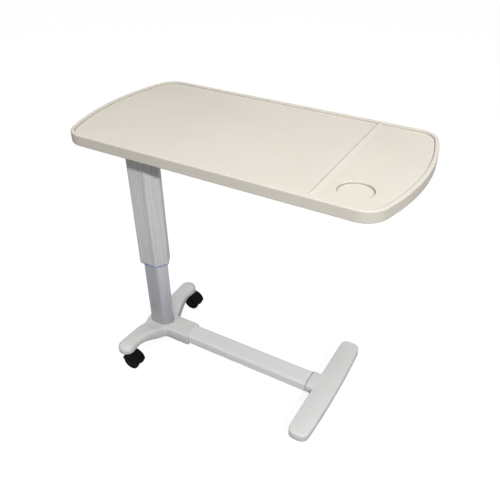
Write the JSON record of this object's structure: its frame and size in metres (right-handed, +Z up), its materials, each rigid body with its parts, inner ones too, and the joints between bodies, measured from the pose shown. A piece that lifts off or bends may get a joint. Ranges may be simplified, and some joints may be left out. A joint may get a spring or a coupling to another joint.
{
  "type": "overbed table",
  "caption": "Overbed table: rimmed moulded top with a divider and a cup recess on a gas-sprung six-sided column over a low wheeled base.",
  "frame": {"origin": "on the floor, below the middle of the tabletop", "axes": "+Z up; +X along the tabletop, from the column towards the foot; +Y across it, away from the user's side with the cup recess"},
  "size_m": [0.8, 0.4, 0.75],
  "materials": {
    "anodised_aluminium": "satin anodised, brushed along its length",
    "base_steel": "grey primer",
    "beam_paint": "satin powder coat",
    "black_steel": "black powder coat",
    "blue_seal": "smooth",
    "bright_steel": "zinc plated",
    "cast_aluminium": "as cast",
    "caster_plastic": "moulded nylon",
    "chrome_rod": "hard chrome, polished",
    "cover_plastic": "fine moulded texture",
    "cream_plastic": "fine moulded texture, satin",
    "grip_plastic": "grained",
    "guide_plastic": "natural acetal",
    "sleeve_paint": "satin paint over a fluted extrusion",
    "tyre_rubber": "smooth tread",
    "wheel_plastic": "moulded nylon"
  },
  "bodies": {
    "base": {"leg_frame": "base_steel", "leg_cover": "cover_plastic", "beam_tube": "beam_paint", "foot_frame": "base_steel", "foot_cover": "cover_plastic", "inner_column": "anodised_aluminium", "column_insert": "cast_aluminium", "column_screws": "bright_steel", "upper_guide_bush": "guide_plastic", "gas_spring_cylinder": "black_steel", "insert_bolts": "bright_steel", "leg_beam_bolts": "bright_steel", "foot_beam_bolts": "bright_steel", "cover_screws": "bright_steel", "leg_caster_stems": "bright_steel", "foot_caster_stems": "bright_steel"},
    "lift": {"outer_sleeve": "sleeve_paint", "lower_guide_bush": "guide_plastic", "wiper_seal": "blue_seal", "column_head": "cast_aluminium", "head_screws": "bright_steel", "support_frame": "black_steel", "tabletop": "cream_plastic", "table_screws": "bright_steel", "gas_spring_rod": "chrome_rod", "rod_nut": "bright_steel", "lever_pivot": "bright_steel"},
    "lever": {"release_lever": "base_steel", "lever_grip": "grip_plastic"},
    "pin": {"release_pin": "bright_steel"},
    "leg_caster_front": {"leg_caster_front_hood": "caster_plastic", "leg_caster_front_axle": "bright_steel"},
    "leg_caster_front_wheel_near": {"leg_caster_front_wheel_near": "wheel_plastic", "leg_caster_front_tyre_near": "tyre_rubber"},
    "leg_caster_front_wheel_far": {"leg_caster_front_wheel_far": "wheel_plastic", "leg_caster_front_tyre_far": "tyre_rubber"},
    "leg_caster_back": {"leg_caster_back_hood": "caster_plastic", "leg_caster_back_axle": "bright_steel"},
    "leg_caster_back_wheel_near": {"leg_caster_back_wheel_near": "wheel_plastic", "leg_caster_back_tyre_near": "tyre_rubber"},
    "leg_caster_back_wheel_far": {"leg_caster_back_wheel_far": "wheel_plastic", "leg_caster_back_tyre_far": "tyre_rubber"},
    "foot_caster_front": {"foot_caster_front_hood": "caster_plastic", "foot_caster_front_axle": "bright_steel"},
    "foot_caster_front_wheel_near": {"foot_caster_front_wheel_near": "wheel_plastic", "foot_caster_front_tyre_near": "tyre_rubber"},
    "foot_caster_front_wheel_far": {"foot_caster_front_wheel_far": "wheel_plastic", "foot_caster_front_tyre_far": "tyre_rubber"},
    "foot_caster_back": {"foot_caster_back_hood": "caster_plastic", "foot_caster_back_axle": "bright_steel"},
    "foot_caster_back_wheel_near": {"foot_caster_back_wheel_near": "wheel_plastic", "foot_caster_back_tyre_near": "tyre_rubber"},
    "foot_caster_back_wheel_far": {"foot_caster_back_wheel_far": "wheel_plastic", "foot_caster_back_tyre_far": "tyre_rubber"}
  },
  "joints": [
    {"name": "column_lift", "type": "slide", "parent": "base", "child": "lift", "axis": [0, 0, 1], "range_m": [0, 0.3]},
    {"name": "lever_squeeze", "type": "hinge", "parent": "lift", "child": "lever", "pos_m": [-0.3245, -0.02, 0.713], "axis": [-1, 0, 0], "range_deg": [0, 6]},
    {"name": "pin_press", "type": "slide", "parent": "lift", "child": "pin", "axis": [0, 0, -1], "range_m": [0, 0.0021]},
    {"name": "leg_caster_front_swivel", "type": "hinge", "parent": "base", "child": "leg_caster_front", "pos_m": [-0.3375, -0.155, 0], "axis": [0, 0, 1], "continuous": true},
    {"name": "leg_caster_front_roll_near", "type": "hinge", "parent": "leg_caster_front", "child": "leg_caster_front_wheel_near", "pos_m": [-0.3175, -0.155, 0.025], "axis": [0, 1, 0], "continuous": true},
    {"name": "leg_caster_front_roll_far", "type": "hinge", "parent": "leg_caster_front", "child": "leg_caster_front_wheel_far", "pos_m": [-0.3175, -0.155, 0.025], "axis": [0, 1, 0], "continuous": true},
    {"name": "leg_caster_back_swivel", "type": "hinge", "parent": "base", "child": "leg_caster_back", "pos_m": [-0.3375, 0.155, 0], "axis": [0, 0, 1], "continuous": true},
    {"name": "leg_caster_back_roll_near", "type": "hinge", "parent": "leg_caster_back", "child": "leg_caster_back_wheel_near", "pos_m": [-0.3175, 0.155, 0.025], "axis": [0, 1, 0], "continuous": true},
    {"name": "leg_caster_back_roll_far", "type": "hinge", "parent": "leg_caster_back", "child": "leg_caster_back_wheel_far", "pos_m": [-0.3175, 0.155, 0.025], "axis": [0, 1, 0], "continuous": true},
    {"name": "foot_caster_front_swivel", "type": "hinge", "parent": "base", "child": "foot_caster_front", "pos_m": [0.2315, -0.13, 0], "axis": [0, 0, 1], "continuous": true},
    {"name": "foot_caster_front_roll_near", "type": "hinge", "parent": "foot_caster_front", "child": "foot_caster_front_wheel_near", "pos_m": [0.2195, -0.13, 0.016], "axis": [0, 1, 0], "continuous": true},
    {"name": "foot_caster_front_roll_far", "type": "hinge", "parent": "foot_caster_front", "child": "foot_caster_front_wheel_far", "pos_m": [0.2195, -0.13, 0.016], "axis": [0, 1, 0], "continuous": true},
    {"name": "foot_caster_back_swivel", "type": "hinge", "parent": "base", "child": "foot_caster_back", "pos_m": [0.2315, 0.13, 0], "axis": [0, 0, 1], "continuous": true},
    {"name": "foot_caster_back_roll_near", "type": "hinge", "parent": "foot_caster_back", "child": "foot_caster_back_wheel_near", "pos_m": [0.2195, 0.13, 0.016], "axis": [0, 1, 0], "continuous": true},
    {"name": "foot_caster_back_roll_far", "type": "hinge", "parent": "foot_caster_back", "child": "foot_caster_back_wheel_far", "pos_m": [0.2195, 0.13, 0.016], "axis": [0, 1, 0], "continuous": true}
  ],
  "couplings": [
    {"joint": "pin_press", "follows": "lever_squeeze", "m_per_rad": 0.02}
  ]
}
